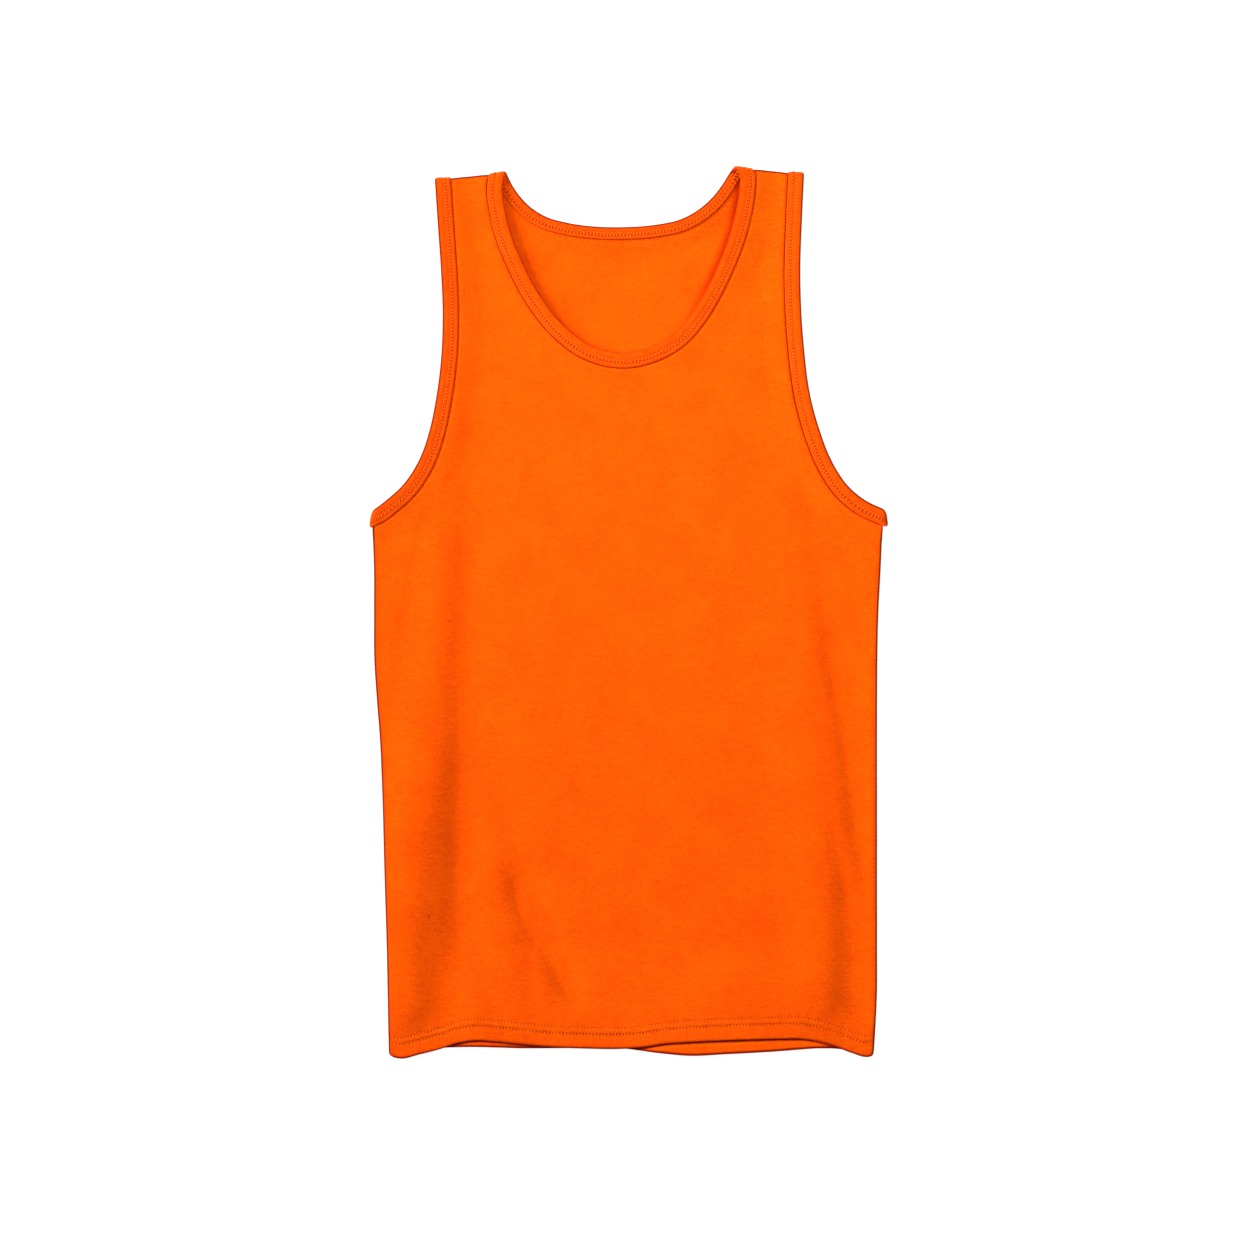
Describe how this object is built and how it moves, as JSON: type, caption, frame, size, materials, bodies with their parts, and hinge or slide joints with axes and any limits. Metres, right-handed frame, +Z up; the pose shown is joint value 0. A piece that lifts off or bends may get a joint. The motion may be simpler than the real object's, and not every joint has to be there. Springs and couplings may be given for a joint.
{
  "type": "tank top",
  "caption": "Sleeveless scoop-neck cotton jersey tank top, laid flat with its front up, with bound neck and armholes and turned-up hems.",
  "frame": {"origin": "middle of the garment's outline, on the surface it lies on", "axes": "+X to the right of the garment as seen from above, +Y from the hem to the shoulders, +Z up from the surface through the back and then the front"},
  "size_m": [0.4672, 0.8024, 0.0091],
  "materials": {
    "jersey": "plain-knit cotton jersey, matt, bright orange",
    "binding": "the same jersey folded into a narrow strip and stitched with two needles"
  },
  "bodies": {
    "root": {"front_panel": "jersey", "back_panel": "jersey", "neck_binding": "binding", "armhole_binding_left": "binding", "armhole_binding_right": "binding"}
  },
  "joints": []
}
